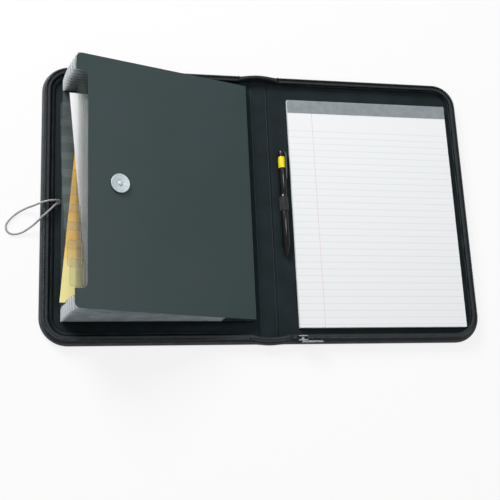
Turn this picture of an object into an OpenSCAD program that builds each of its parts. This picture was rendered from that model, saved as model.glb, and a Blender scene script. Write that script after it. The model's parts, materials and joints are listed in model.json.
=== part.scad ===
// Zip-around letter padfolio lying open: one half is a tray with a built-in accordion file,
// the other half is a cover with a writing pad and a pen. Millimetres, +Z up, fold lines along Y.
// The origin lies on the table under the middle of the spine.

/* [Case] */
// Width of the spine between its two fold lines
spine_w = 28; // [28:0.5:40]
// Radius of the outer corners
corner_r = 34; // [26:1:60]
// Thickness of the leatherette skin
skin_t = 1; // [0.8:0.1:1.2]
// Thickness of the greyboard stiffener
board_t = 2.2; // [1.6:0.1:2.4]
// Thickness of the lining cloth
lining_t = 0.8; // [0.5:0.1:0.9]
// Height of the fold axes above the outer face
fold_z = 0.6; // [0.5:0.1:0.9]

/* [Edge binding and side walls] */
// Width of the binding strip round the edge
binding_w = 6; // [5.9:0.1:7]
// Height of the binding roll
binding_h = 5.2; // [4.9:0.1:5.8]
// Thickness of the leatherette side wall
wall_t = 0.8; // [0.6:0.1:1]
// Distance of the zip tape's middle from the outer edge
tape_inset = 5.5; // [5.4:0.1:6]
// Thickness of the zip tape
tape_t = 0.7; // [0.5:0.1:0.8]
// Width of one zip chain across the tape
chain_w = 2.6; // [2.2:0.1:3]
// Height of one zip chain along the tape
chain_h = 2.1; // [1.8:0.1:2.4]
// Gap between the two zip chains when the case is shut
zip_gap = 2; // [1.8:0.1:2.4]
// Distance of the gusset's ridge from the outer edge
gusset_ridge = 10; // [9.5:0.1:12]
// Distance of the tray gusset's foot from the outer edge
tray_foot = 17.5; // [16.5:0.1:18.5]
// Distance of the cover gusset's foot from the outer edge
cover_foot = 11.5; // [11:0.1:14]
// Thickness of the gusset lining
gusset_t = 1; // [0.8:0.1:1.2]
// Distance from the fold line at which the gussets stop
gusset_stop = 13; // [12.6:0.1:15]

/* [Folds] */
// Bare width of the fold on the spine's side of its axis
spine_stop = 3.8; // [3.8:0.1:5]
// Bare width of the fold on the side of each half
half_stop = 0.5; // [0.4:0.1:2]
// Bare width of the fold at the binding and side wall
rim_stop = 5; // [5:0.1:7]
// Thickness of the soft fold strip
fold_t = 1.6; // [1.2:0.1:2]
// Distance of the spine's end gussets from the outer edge
end_gusset_inset = 8.2; // [8:0.1:9]

/* [Zip slider] */
// Length of the slider along the zip
slider_l = 11; // [9:0.5:14]
// Thickness of each slider plate
plate_t = 1.2; // [1:0.1:1.3]
// Running gap between slider and chain
slider_gap = 0.4; // [0.3:0.05:0.6]
// Distance of the slider's middle from the fold line
slider_at = 24; // [23:0.5:40]
// Length of the pull tab from its pin
pull_l = 26; // [20:1:34]
// Height of the pull tab
pull_h = 5; // [4:0.1:5.4]
// Thickness of the pull tab
pull_t = 1.4; // [1:0.1:1.6]
// Radius of the pull's pin
pin_r = 0.6; // [0.5:0.05:0.7]
// Running clearance of the pull's eye on its pin
pin_clearance = 0.06; // [0.05:0.01:0.1]

/* [Accordion file] */
// Number of divider leaves between the two covers of the file
leaves = 10; // [10:1:10]
// Opening angle of the file's front panel
file_angle = 18; // [14:0.5:22]
// Opening angle of the rearmost pocket
rear_angle = 0.9; // [0.9:0.05:1.4]
// Distance between neighbouring leaves at the hinge edge
leaf_pitch = 0.75; // [0.7:0.01:0.85]
// Thickness of one divider leaf
leaf_t = 0.35; // [0.25:0.01:0.4]
// Thickness of the front and back panels
panel_t = 0.8; // [0.6:0.05:0.9]
// Gap between the fold line and the file's spine strip
file_fold_gap = 3.9; // [3.9:0.1:6]
// Thickness of the file's spine strip
strip_t = 0.6; // [0.4:0.1:0.8]
// Clearance between the leaves' hinge edges and the strip
hinge_gap = 0.3; // [0.3:0.05:0.6]
// Free width between the tabs and the gusset foot
mouth_gap = 5.2; // [5.2:0.1:9]
// Length by which the front panel stands past the leaves
front_lap = 2; // [1:0.5:4]
// Length by which the back panel stands past the leaves
back_lap = 6; // [4:0.5:7]
// Gap between the file and the far gusset
file_far_gap = 1; // [0.8:0.1:3]
// Gap between the file and the near gusset
file_near_gap = 11; // [8:0.5:16]
// Corner radius of the panels at the mouth
panel_r = 7; // [4:0.5:10]
// Depth of the finger notch in the front panel
notch_d = 14.5; // [10:0.5:20]
// Length of full edge left at each end of the notch
notch_end = 22; // [18:1:25]
// Depth to which a leaf's mouth edge is cut back between the same ends
leaf_cut = 9; // [4:0.5:10]
// Length by which a divider's tab stands past the leaf's full edge
tab_w = 8; // [6:0.5:9]
// Length of a divider's tab
tab_l = 31; // [24:1:40]
// Distance of the first tab from the file's far edge
tab_start = 31; // [26:1:40]
// Distance of the last tab from the file's near edge
tab_end = 26; // [24:1:40]
// Depth of a bellows pleat
pleat_d = 16; // [12:0.5:20]
// Thickness of the bellows film across the stack
pleat_t = 0.2; // [0.15:0.01:0.22]
// Distance from the hinge at which the pleats start
pleat_start = 40; // [38:1:60]

/* [Button and elastic loop] */
// Diameter of the button disc
button_d = 23; // [16:0.5:28]
// Thickness of the button disc
button_t = 1.2; // [0.8:0.1:1.3]
// Room under the disc for the elastic
button_room = 1.6; // [1.4:0.1:1.7]
// Diameter of the spacer under the disc
spacer_d = 9; // [7:0.5:12]
// Diameter of the rivet's head
rivet_head_d = 6.4; // [5:0.2:8]
// Height of the rivet's head
rivet_head_h = 0.8; // [0.5:0.1:0.9]
// Diameter of the rivet's shank
rivet_d = 3; // [2:0.1:4]
// Distance of the button from the front panel's mouth edge
button_at = 52.5; // [45:0.5:90]
// Distance of the button from the front panel's middle, towards the near edge
button_drop = 4; // [0:0.5:20]
// Diameter of the elastic cord
cord_d = 2.4; // [2:0.1:2.6]
// Gap between the anchor of the elastic and the gusset's foot
anchor_gap = 1.2; // [0.6:0.1:1.5]

/* [Writing pad] */
// Width of the pad
pad_w = 216; // [210:0.5:217]
// Length of the pad
pad_l = 298.5; // [297:0.5:305]
// Thickness of the pad's card back
card_t = 0.8; // [0.5:0.1:0.9]
// Thickness of the sleeve that holds the card back
sleeve_t = 0.5; // [0.4:0.1:0.6]
// Thickness of the stack of sheets
sheets_t = 4.6; // [3:0.1:5]
// Width of the binding strip over the pad's top edge
pad_strip_w = 17.5; // [12:0.5:25]
// Thickness of that binding strip
pad_strip_t = 0.3; // [0.2:0.05:0.4]
// Gap between the pad's square corner and the round corner of the gusset
pad_gap = 0.3; // [0.3:0.1:1.5]
// Free length between the pad and the far gusset
pad_far_gap = 21.8; // [10:0.1:40]
// Gap between the pad and the pen loop
pad_pen_gap = 5.6; // [2:0.1:12]
// Distance of the sleeve's open edge from the pad's top
sleeve_open = 60; // [40:1:120]
// Width by which the sleeve stands past the pad
sleeve_lap = 0.5; // [0.4:0.05:0.55]

/* [Pen] */
// Diameter of the pen
pen_d = 9; // [8:0.1:9.2]
// Length of the pen
pen_l = 140; // [120:1:150]
// Gap between the fold line and the pen loop
pen_fold_gap = 6; // [5.5:0.1:9]
// Place of the pen's top end along the spine
pen_top = 71; // [60:1:74]
// Length of the coloured band
pen_band_l = 15; // [8:0.5:20]
// Distance of the band from the pen's top
pen_band_at = 8.5; // [6:0.5:14]
// Thickness of the coloured band
pen_band_t = 0.6; // [0.4:0.05:0.8]
// Length of the pen's clip
clip_l = 36; // [26:1:40]
// Width of the pen's clip
clip_w = 4; // [3:0.1:4.4]
// Thickness of the pen's clip
clip_t = 1.2; // [0.8:0.1:1.3]
// Thickness of the elastic pen loop
loop_t = 0.8; // [0.6:0.1:0.9]
// Length of the pen loop along the pen
loop_l = 18; // [12:1:24]
// Clearance of the pen in its loop
pen_gap = 0.2; // [0.15:0.01:0.25]

/* [Papers in the file] */
// Thickness of a paper or a folder in the file
paper_t = 0.15; // [0.1:0.01:0.16]
// Slant of the papers in their pockets
paper_slant = 5; // [2:0.5:6]

/* [Hidden] */
$fn = 48;

leather = "#232427";
cloth = "#1c2628";
zip_black = "#2b2c30";
card_grey = "#8d8a84";
panel_green = "#3c4848";
frosted = "#9aa4ac";
steel = "#d5e0e4";
elastic = "#9a9a9c";
pen_black = "#15161a";
pen_yellow = "#f6e81a";
paper_white = "#f4f5f6";
folder_gold = "#f2c84b";

// Room left between neighbouring pieces that are sewn or glued together
seam = 0.1;
fold_x = spine_w / 2;
inside_z = skin_t + board_t + lining_t;
shut_h = spine_w + 2 * fold_z;
rim_z = (shut_h - zip_gap) / 2;
chain_z = rim_z - chain_h;
gusset_z = chain_z - seam;
// Length by which a cut runs past the faces that it opens
cut = 1;

// The cover, in its own frame: x runs from the fold line past the pen and the pad to the outer edge.
// The pad's sleeve has a square corner, which fits inside the arc of the gusset's foot.
pen_r = pen_d / 2;
loop_r = pen_r + pen_gap + loop_t;
pen_at = pen_fold_gap + loop_r;
pad_inset = cover_foot + (corner_r - cover_foot) * (1 - sqrt(0.5)) + pad_gap + sleeve_lap;
pad_x0 = pen_at + loop_r + pad_pen_gap;
pad_x1 = pad_x0 + pad_w;
half_w = pad_x1 + pad_inset;
case_h = pad_inset + pad_l + pad_strip_t + pad_far_gap + cover_foot;
half_h = case_h / 2;
pad_y0 = pad_inset - half_h;
pad_y1 = pad_y0 + pad_l;
sleeve_z = inside_z + card_t;
sheets_z = sleeve_z + sleeve_t;
pen_z = inside_z + loop_r;

// The accordion file: hinge edge, reach and length of its leaves
hinge_x = -fold_x - file_fold_gap - strip_t - hinge_gap;
leaf_l = half_w - tray_foot - mouth_gap - file_fold_gap - strip_t - hinge_gap - tab_w;
front_l = leaf_l + front_lap;
back_l = leaf_l + back_lap;
file_y0 = tray_foot + file_near_gap - half_h;
file_y1 = half_h - tray_foot - file_far_gap;
tab_step = (file_y1 - file_y0 - tab_start - tab_end - tab_l) / (leaves - 1);
back_z = inside_z + panel_t;
pockets = leaves + 1;
// Pockets open wider from the rear to the front, by a steady step
angle_step = 2 * (file_angle / pockets - rear_angle) / (pockets - 1);
function leaf_angle(i) = i * rear_angle + angle_step * i * (i - 1) / 2;
function leaf_z(i) = back_z + leaf_pitch * i;
// A point of leaf i: r along the leaf from its hinge, y along the case, n above its middle plane
function on_leaf(i, r, y, n) = [
    hinge_x - r * cos(leaf_angle(i)) + n * sin(leaf_angle(i)),
    y,
    leaf_z(i) + r * sin(leaf_angle(i)) + n * cos(leaf_angle(i))
];

// The two strands of the elastic loop start side by side in a ring on the lining. The route's
// points are measured from the middle of that ring, and their heights from the table.
strand_step = 2.8;
ring_w = 1;
slot_r = cord_d / 2 + seam;
ring_r = slot_r + ring_w;
anchor_x = -fold_x - half_w + tray_foot + anchor_gap + ring_r;
anchor_y = -2;
anchor_h = 1;
cord_points = [
    [0, 1.4, 4], [-0.2, 1.3, 7], [-2, 0.7, 10], [-6, -0.4, 13], [-10.5, -1.7, 15.2],
    [-15, -3, 15.8], [-19.5, -4.2, 14.6], [-24.5, -5.3, 11.2], [-29.5, -6.2, 7.4], [-35, -7.4, 4.4],
    [-40.5, -9.6, 2.4], [-46.5, -13, 1.5], [-52.5, -18, 1.3], [-57.5, -24, 1.3], [-60.1, -30, 1.3],
    [-58.5, -36, 1.3], [-53.5, -39.4, 1.3], [-47, -39.4, 1.5], [-40.5, -37.2, 2.2], [-35, -34, 3.8],
    [-29.5, -30.6, 6.8], [-24, -26.6, 10.8], [-19, -22.4, 14.4], [-14.5, -18.4, 15.8],
    [-10.5, -14.2, 15.4], [-6.5, -9.2, 13], [-3.1, -4.6, 9.8], [-0.2, -1.5, 7], [0, -1.4, 4]
];
cord_route = [for (p = cord_points) p + [anchor_x, anchor_y, 0]];

// Places a half: x runs from the fold line to the outer edge
module on_cover() {
    translate([fold_x, 0, 0]) children();
}
module on_tray() {
    mirror([1, 0, 0]) on_cover() children();
}

// Outline of a half: square at the fold, round at the two outer corners
module half_outline(inset, stop) {
    translate([stop, inset - half_h]) square([half_w - corner_r - stop, case_h - 2 * inset]);
    translate([stop, corner_r - half_h]) square([half_w - inset - stop, case_h - 2 * corner_r]);
    for (side = [-1, 1])
        translate([half_w - corner_r, side * (half_h - corner_r)]) circle(corner_r - inset);
}

module half_plate(z, t) {
    translate([0, 0, z]) linear_extrude(t) half_outline(binding_w + seam, half_stop);
}

// Carries a profile round the three outer sides of a half. In the profile x is the distance
// from the outer edge and y is the height.
module round_rim(stop) {
    for (side = [0, 1]) mirror([0, side, 0]) {
        translate([stop, -half_h, 0]) rotate([90, 0, 90])
            linear_extrude(half_w - corner_r - stop) children();
        translate([half_w - corner_r, half_h - corner_r, 0]) rotate_extrude(angle = 90)
            translate([corner_r, 0]) mirror([1, 0]) children();
    }
    translate([half_w, half_h - corner_r, 0]) mirror([1, 0, 0]) rotate([90, 0, 0])
        linear_extrude(case_h - 2 * corner_r) children();
}

module binding_profile() {
    roll_r = binding_h / 2;
    translate([roll_r, roll_r]) circle(roll_r);
    translate([roll_r, 0]) square([binding_w - roll_r, binding_h]);
}

module wall_profile() {
    translate([tape_inset - tape_t / 2 - seam - wall_t, binding_h]) square([wall_t, gusset_z - binding_h]);
}

module tape_profile() {
    translate([tape_inset - tape_t / 2, binding_h]) square([tape_t, chain_z - binding_h]);
}

module chain_profile() {
    translate([tape_inset - chain_w / 2, chain_z]) square([chain_w, chain_h]);
}

// The gusset lining leaves the tape level, turns at its ridge and slopes down to the lining
module gusset_profile(foot) {
    start = tape_inset + tape_t / 2 + seam;
    slope = (foot - gusset_ridge) / (gusset_z - inside_z);
    back = gusset_t * sqrt(1 + slope * slope);
    polygon([
        [start, gusset_z],
        [gusset_ridge, gusset_z],
        [foot, inside_z],
        [foot - back, inside_z],
        [gusset_ridge - back + slope * gusset_t, gusset_z - gusset_t],
        [start, gusset_z - gusset_t]
    ]);
}

// Metal stops that close the zip chain at its two ends by the spine
module zip_stops() {
    stop_l = 2.4;
    for (side = [0, 1]) mirror([0, side, 0])
        translate([gusset_stop - stop_l, tape_inset - chain_w / 2 - half_h, chain_z])
            cube([stop_l - seam, chain_w, chain_h]);
}

module tray_skin() {
    color(leather) on_tray() half_plate(0, skin_t);
}
module tray_board() {
    color(card_grey) on_tray() half_plate(skin_t, board_t);
}
module tray_lining() {
    color(cloth) on_tray() half_plate(skin_t + board_t, lining_t);
}
module tray_binding() {
    color(leather) on_tray() round_rim(rim_stop) binding_profile();
}
module tray_wall() {
    color(leather) on_tray() round_rim(rim_stop) wall_profile();
}
module tray_gusset() {
    color(cloth) on_tray() round_rim(gusset_stop) gusset_profile(tray_foot);
}
module tray_zip_tape() {
    color(zip_black) on_tray() round_rim(rim_stop) tape_profile();
}
module tray_zip_chain() {
    color(zip_black) on_tray() round_rim(gusset_stop) chain_profile();
}
module tray_zip_stops() {
    color(steel) on_tray() zip_stops();
}

module cover_skin() {
    color(leather) on_cover() half_plate(0, skin_t);
}
module cover_board() {
    color(card_grey) on_cover() half_plate(skin_t, board_t);
}
module cover_lining() {
    color(cloth) on_cover() half_plate(skin_t + board_t, lining_t);
}
module cover_binding() {
    color(leather) on_cover() round_rim(rim_stop) binding_profile();
}
module cover_wall() {
    color(leather) on_cover() round_rim(rim_stop) wall_profile();
}
module cover_gusset() {
    color(cloth) on_cover() round_rim(gusset_stop) gusset_profile(cover_foot);
}
module cover_zip_tape() {
    color(zip_black) on_cover() round_rim(rim_stop) tape_profile();
}
module cover_zip_chain() {
    color(zip_black) on_cover() round_rim(gusset_stop) chain_profile();
}
module cover_zip_stops() {
    color(steel) on_cover() zip_stops();
}

// Two plates run on either side of the chains, and a post in the gap between the chains joins them.
// Two lugs on the outer plate hold the pull's pin.
plate_lift = 0.2;
plate_z0 = chain_z + plate_lift;
plate_z1 = shut_h - plate_z0;
plate_y = chain_w / 2 + slider_gap;
post_h = zip_gap - 2 * slider_gap;
post_l = 3.2;
tape_y = tape_inset - half_h;
pin_reach = 1.3;
lug_h = 0.9;
lug_r = 1.15;
pin_y = tape_y - plate_y - plate_t - pin_reach;
eye_h = plate_z1 - plate_z0 - 2 * lug_h - 2 * seam;

module zip_slider() {
    color(steel) on_cover() translate([slider_at, 0, 0]) {
        for (side = [0, 1]) translate([0, tape_y, 0]) mirror([0, side, 0])
            translate([-slider_l / 2, plate_y, plate_z0]) cube([slider_l, plate_t, plate_z1 - plate_z0]);
        translate([-post_l / 2, tape_y - plate_y, (shut_h - post_h) / 2])
            cube([post_l, 2 * plate_y, post_h]);
        for (z = [plate_z0, plate_z1 - lug_h]) {
            translate([0, pin_y, z]) cylinder(h = lug_h, r = lug_r);
            translate([-lug_r, pin_y, z]) cube([2 * lug_r, pin_reach, lug_h]);
        }
        translate([0, pin_y, plate_z0]) cylinder(h = plate_z1 - plate_z0, r = pin_r);
    }
}

// A flat tab with a round end and a slot, hung on the slider's pin by its eye
module zip_pull() {
    slot_l = 9;
    slot_h = 1.7;
    neck_l = 6;
    end_r = pull_h / 2;
    tab_z = plate_z0 + (plate_z1 - plate_z0) / 2;
    color(steel) on_cover() translate([slider_at, pin_y, tab_z]) difference() {
        union() {
            translate([0, 0, -eye_h / 2]) cylinder(h = eye_h, r = lug_r);
            translate([0, -pull_t / 2, -eye_h / 2]) cube([neck_l, pull_t, eye_h]);
            translate([neck_l - cut, -pull_t / 2, -pull_h / 2])
                cube([pull_l - neck_l + cut - end_r, pull_t, pull_h]);
            translate([pull_l - end_r, pull_t / 2, 0]) rotate([90, 0, 0])
                cylinder(h = pull_t, r = end_r);
        }
        translate([0, 0, -eye_h]) cylinder(h = 2 * eye_h, r = pin_r + pin_clearance);
        translate([pull_l - end_r - slot_l, -pull_t, -slot_h / 2]) cube([slot_l, 2 * pull_t, slot_h]);
    }
}

spine_plate_w = spine_w - 2 * spine_stop;
module spine_plate(z, t) {
    translate([-spine_plate_w / 2, binding_w + seam - half_h, z])
        cube([spine_plate_w, case_h - 2 * (binding_w + seam), t]);
}
module spine_skin() {
    color(leather) spine_plate(0, skin_t);
}
module spine_board() {
    color(card_grey) spine_plate(skin_t, board_t);
}
module spine_lining() {
    color(cloth) spine_plate(skin_t + board_t, lining_t);
}

// A stretch of edge binding along x at both ends of the spine or of a fold
module end_binding(x0, x1) {
    for (side = [0, 1]) mirror([0, side, 0])
        translate([x0, -half_h, 0]) rotate([90, 0, 90]) linear_extrude(x1 - x0) binding_profile();
}
module spine_binding() {
    color(leather) end_binding(-spine_plate_w / 2, spine_plate_w / 2);
}
module spine_gussets() {
    color(cloth) for (side = [0, 1]) mirror([0, side, 0])
        translate([-spine_plate_w / 2, end_gusset_inset - half_h, inside_z])
            cube([spine_plate_w, gusset_t, gusset_z - inside_z]);
}

// Skin and lining without board, which bend between a half and the spine
module fold_strip() {
    x0 = half_stop - seam;
    x1 = spine_stop - seam;
    translate([-x1, binding_w - half_h, 0]) cube([x0 + x1, case_h - 2 * binding_w, fold_t]);
    end_binding(-x1, rim_stop - seam);
}
module tray_fold() {
    color(leather) on_tray() fold_strip();
}
module cover_fold() {
    color(leather) on_cover() fold_strip();
}

// A panel of the file in its own frame: the hinge edge on the Y axis, the mouth towards -X
module panel_outline(l) {
    translate([-l + panel_r, file_y0]) square([l - panel_r, file_y1 - file_y0]);
    translate([-l, file_y0 + panel_r]) square([panel_r, file_y1 - file_y0 - 2 * panel_r]);
    for (y = [file_y0 + panel_r, file_y1 - panel_r]) translate([-l + panel_r, y]) circle(panel_r);
}
module at_leaf(i) {
    translate([hinge_x, 0, leaf_z(i)]) rotate([0, leaf_angle(i), 0]) children();
}

module file_back_panel() {
    color(panel_green) translate([hinge_x, 0, inside_z]) linear_extrude(panel_t) panel_outline(back_l);
}
module file_spine_strip() {
    color(panel_green) translate([hinge_x + hinge_gap, file_y0, inside_z])
        cube([strip_t, file_y1 - file_y0, leaf_z(pockets) + panel_t - inside_z]);
}

// The notch has round inner corners, so that the tabs can be read and reached behind it
module finger_notch() {
    y0 = file_y0 + notch_end;
    y1 = file_y1 - notch_end;
    translate([-front_l - cut, y0]) square([notch_d - panel_r + cut, y1 - y0]);
    translate([-front_l - cut, y0 + panel_r]) square([notch_d + cut, y1 - y0 - 2 * panel_r]);
    for (y = [y0 + panel_r, y1 - panel_r])
        translate([-front_l + notch_d - panel_r, y]) circle(panel_r);
}
button_x = -front_l + button_at;
button_y = (file_y0 + file_y1) / 2 - button_drop;
module file_front_panel() {
    color(panel_green) at_leaf(pockets) translate([0, 0, -panel_t / 2]) linear_extrude(panel_t)
        difference() {
            panel_outline(front_l);
            finger_notch();
            translate([button_x, button_y]) circle(rivet_d / 2 + seam / 2);
        }
}

// A divider leaf whose mouth edge is cut back between the bellows, with a clear tab welded to that edge,
// each tab a step further along
module divider(i) {
    tab_y = file_y1 - tab_start - tab_step * (i - 1) - tab_l;
    file_h = file_y1 - file_y0;
    at_leaf(i) translate([0, 0, -leaf_t / 2]) {
        color(panel_green) linear_extrude(leaf_t) difference() {
            translate([-leaf_l, file_y0]) square([leaf_l - leaf_t, file_h]);
            translate([-leaf_l - cut, file_y0 + notch_end]) square([leaf_cut + cut, file_h - 2 * notch_end]);
        }
        color(frosted) translate([-leaf_l - tab_w, tab_y, 0]) cube([tab_w + leaf_cut - seam, tab_l, leaf_t]);
    }
}

// One pleat of the bellows in pocket i: two films that run in from the edges of the two leaves and meet
// in a blunt valley, drawn as a bent strip with seven corners at each end. The films are twisted, so
// both sides of a film are split along the same diagonal. At the mouth they end on a line from the edge
// of the back panel to that of the leaves.
module pleat(i, edge, dir) {
    below = leaf_half(i - 1) + seam;
    above = leaf_half(i) + seam;
    valley_t = 2;
    inner_sides = [4, 5];
    function ring(r_lo, r_hi) =
        let (lo = on_leaf(i - 1, r_lo, edge, below), lo_in = on_leaf(i - 1, r_lo, edge, below + pleat_t))
        let (hi = on_leaf(i, r_hi, edge, -above), hi_in = on_leaf(i, r_hi, edge, -above - pleat_t))
        let (middle = (lo + hi) / 2, up = unit(hi - lo) * pleat_t)
        let (valley = middle + [0, dir * pleat_d, 0], bend = valley - [0, dir * valley_t, 0])
        dir < 0 ? [lo, valley - up, valley + up, hi, hi_in, bend, lo_in]
            : [hi, valley + up, valley - up, lo, lo_in, bend, hi_in];
    first = ring(pleat_start, pleat_start);
    corners = len(first);
    sides = [for (k = [0:corners - 1]) let (n = (k + 1) % corners)
        each len(search(k, inner_sides)) > 0
            ? [[k, n, k + corners], [n, n + corners, k + corners]]
            : [[k, n, n + corners], [k, n + corners, k + corners]]];
    near_cap = [[0, 6, 5], [0, 5, 1], [1, 5, 2], [2, 5, 4], [2, 4, 3]];
    far_cap = [for (f = near_cap) [f[0] + corners, f[2] + corners, f[1] + corners]];
    polyhedron(concat(first, ring(mouth_l(i - 1), mouth_l(i))), concat(sides, near_cap, far_cap));
}
function mouth_l(i) = back_l + (leaf_l - back_l) * i / pockets;
function leaf_half(i) = i == 0 || i == pockets ? panel_t / 2 : leaf_t / 2;

module bellows(edge, dir) {
    color(frosted) for (i = [1:pockets]) pleat(i, edge, dir);
}
module bellows_far() {
    bellows(file_y1, -1);
}
module bellows_near() {
    bellows(file_y0, 1);
}

// The button on the front panel: a spacer, a disc that the elastic hooks under, and a rivet
module at_button() {
    at_leaf(pockets) translate([button_x, button_y, panel_t / 2]) children();
}
module washer(d, t) {
    difference() {
        cylinder(h = t, d = d);
        translate([0, 0, -t]) cylinder(h = 3 * t, d = rivet_d + seam);
    }
}
module button_spacer() {
    color(steel) at_button() washer(spacer_d, button_room);
}
module button_disc() {
    color(steel) at_button() translate([0, 0, button_room]) washer(button_d, button_t);
}
module button_rivet() {
    color(steel) at_button() {
        translate([0, 0, -panel_t]) cylinder(h = panel_t + button_room + button_t, d = rivet_d);
        translate([0, 0, button_room + button_t])
            cylinder(h = rivet_head_h, d1 = rivet_head_d, d2 = rivet_d);
    }
}

// A round cord swept along its route: each ring stands square to the route, which starts and
// ends straight up out of the anchor
cord_sides = 8;
function unit(v) = v / norm(v);
function heading(k) =
    k == 0 ? [0, 0, 1] :
    k == len(cord_route) - 1 ? [0, 0, -1] :
    unit(cord_route[k + 1] - cord_route[k - 1]);
// Across the route and nearly level, carried on from ring to ring so that the tube doesn't twist
function across(k) =
    k == 0 ? [0, 1, 0] :
    let (last = across(k - 1), h = heading(k)) unit(last - (last * h) * h);
module elastic_loop() {
    rings = len(cord_route);
    points = [for (k = [0:rings - 1]) let (u = across(k), v = cross(heading(k), u))
        for (s = [0:cord_sides - 1]) let (a = 360 * s / cord_sides)
            cord_route[k] + cord_d / 2 * (cos(a) * u + sin(a) * v)];
    sides = [for (k = [0:rings - 2], s = [0:cord_sides - 1])
        let (a = k * cord_sides + s, b = k * cord_sides + (s + 1) % cord_sides)
        each [[a, b + cord_sides, b], [a, a + cord_sides, b + cord_sides]]];
    start_cap = [for (s = [1:cord_sides - 2]) [0, s, s + 1]];
    end = (rings - 1) * cord_sides;
    end_cap = [for (s = [1:cord_sides - 2]) [end, end + s + 1, end + s]];
    color(elastic) polyhedron(points, concat(sides, start_cap, end_cap));
}

// An oblong ring on the lining, with a slot that both strands come out of
module loop_anchor() {
    module oblong(r) {
        for (side = [-1, 1]) translate([0, side * strand_step / 2]) circle(r);
        translate([-r, -strand_step / 2]) square([2 * r, strand_step]);
    }
    color(steel) translate([anchor_x, anchor_y, inside_z]) linear_extrude(anchor_h) difference() {
        oblong(ring_r);
        oblong(slot_r);
    }
}

// The pad's card back slides into a flat sleeve on the lining, and its sheets lie on the sleeve
module pad_card() {
    color(card_grey) on_cover() translate([pad_x0, pad_y0, inside_z]) cube([pad_w, pad_l, card_t]);
}
module pad_sleeve() {
    seam_w = sleeve_lap - seam;
    color(cloth) on_cover() {
        translate([pad_x0 - sleeve_lap, pad_y0 - sleeve_lap, sleeve_z])
            cube([pad_w + 2 * sleeve_lap, pad_l - sleeve_open + sleeve_lap, sleeve_t]);
        for (x = [pad_x0 - sleeve_lap, pad_x1 + seam]) translate([x, pad_y0 - sleeve_lap, inside_z])
            cube([seam_w, pad_l - sleeve_open + sleeve_lap, card_t]);
        translate([pad_x0 - sleeve_lap, pad_y0 - sleeve_lap, inside_z])
            cube([pad_w + 2 * sleeve_lap, seam_w, card_t]);
    }
}
module pad_sheets() {
    color(paper_white) on_cover() translate([pad_x0, pad_y0, sheets_z]) cube([pad_w, pad_l, sheets_t]);
}
// A tape folded over the top edge of the sheets and down onto the card
module pad_strip() {
    color(card_grey) on_cover() {
        translate([pad_x0, pad_y1 - pad_strip_w, sheets_z + sheets_t])
            cube([pad_w, pad_strip_w + pad_strip_t, pad_strip_t]);
        translate([pad_x0, pad_y1, inside_z]) cube([pad_w, pad_strip_t, sheets_z + sheets_t - inside_z]);
    }
}

// The pen lies along the fold, its axis in line with the loop
module on_pen() {
    on_cover() translate([pen_at, pen_top, pen_z]) rotate([90, 0, 0]) children();
}
module pen_barrel() {
    tip_l = 16;
    tip_r = 1.2;
    cap_l = 1.5;
    cap_bevel = 1;
    groove_r = pen_r - pen_band_t;
    color(pen_black) on_pen() {
        cylinder(h = cap_l, r1 = pen_r - cap_bevel, r2 = pen_r);
        translate([0, 0, cap_l]) cylinder(h = pen_band_at - cap_l, r = pen_r);
        translate([0, 0, pen_band_at]) cylinder(h = pen_band_l, r = groove_r);
        translate([0, 0, pen_band_at + pen_band_l])
            cylinder(h = pen_l - tip_l - pen_band_at - pen_band_l, r = pen_r);
        translate([0, 0, pen_l - tip_l]) cylinder(h = tip_l, r1 = pen_r, r2 = tip_r);
    }
}
module pen_band() {
    color(pen_yellow) on_pen() translate([0, 0, pen_band_at + seam]) difference() {
        cylinder(h = pen_band_l - 2 * seam, r = pen_r);
        translate([0, 0, -cut]) cylinder(h = pen_band_l + 2 * cut, r = pen_r - pen_band_t + seam / 2);
    }
}
// The clip starts at the pen's top on a hollowed foot and stands off to the upper right
module pen_clip() {
    clip_roll = 35;
    clip_top = 3;
    clip_lift = 0.6;
    foot_l = 5;
    color(pen_black) on_pen() rotate([0, 0, clip_roll]) translate([0, 0, clip_top]) difference() {
        union() {
            translate([pen_r + clip_lift, -clip_w / 2, 0]) cube([clip_t, clip_w, clip_l]);
            translate([0, -clip_w / 2, 0]) cube([pen_r + clip_lift + clip_t, clip_w, foot_l]);
        }
        translate([0, 0, -cut]) cylinder(h = foot_l + 2 * cut, r = pen_r + seam / 2);
    }
}
// An elastic ring round the pen, sewn down on the lining with a flap on each side
module pen_loop() {
    flap_w = 2 * loop_r;
    color(elastic) on_cover() translate([pen_at, loop_l / 2, 0]) rotate([90, 0, 0])
        linear_extrude(loop_l) difference() {
            union() {
                translate([0, pen_z]) circle(loop_r);
                translate([-flap_w / 2, inside_z]) square([flap_w, loop_t]);
            }
            translate([0, pen_z]) circle(pen_r + pen_gap);
        }
}

// A paper lies on leaf i, cut off square where the pleats begin. Its mouth edge slants.
module paper(i, reach, lean) {
    n = leaf_t / 2 + seam;
    y0 = file_y0 + pleat_d + paper_end;
    y1 = file_y1 - 2 * pleat_d;
    slant = tan(paper_slant) * (y1 - y0);
    inner = pleat_start + pleat_d;
    at_leaf(i) translate([0, 0, n]) linear_extrude(paper_t) polygon([
        [-inner, y0],
        [-inner, y1],
        [-reach + (lean > 0 ? 0 : slant), y1],
        [-reach + (lean > 0 ? slant : 0), y0]
    ]);
}
white_leaf = 6;
gold_leaf = 4;
paper_end = 2;
module white_sheet() {
    color(paper_white) paper(white_leaf, leaf_l, 1);
}
module yellow_folder() {
    color(folder_gold) paper(gold_leaf, leaf_l + tab_w, -1);
}

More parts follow.
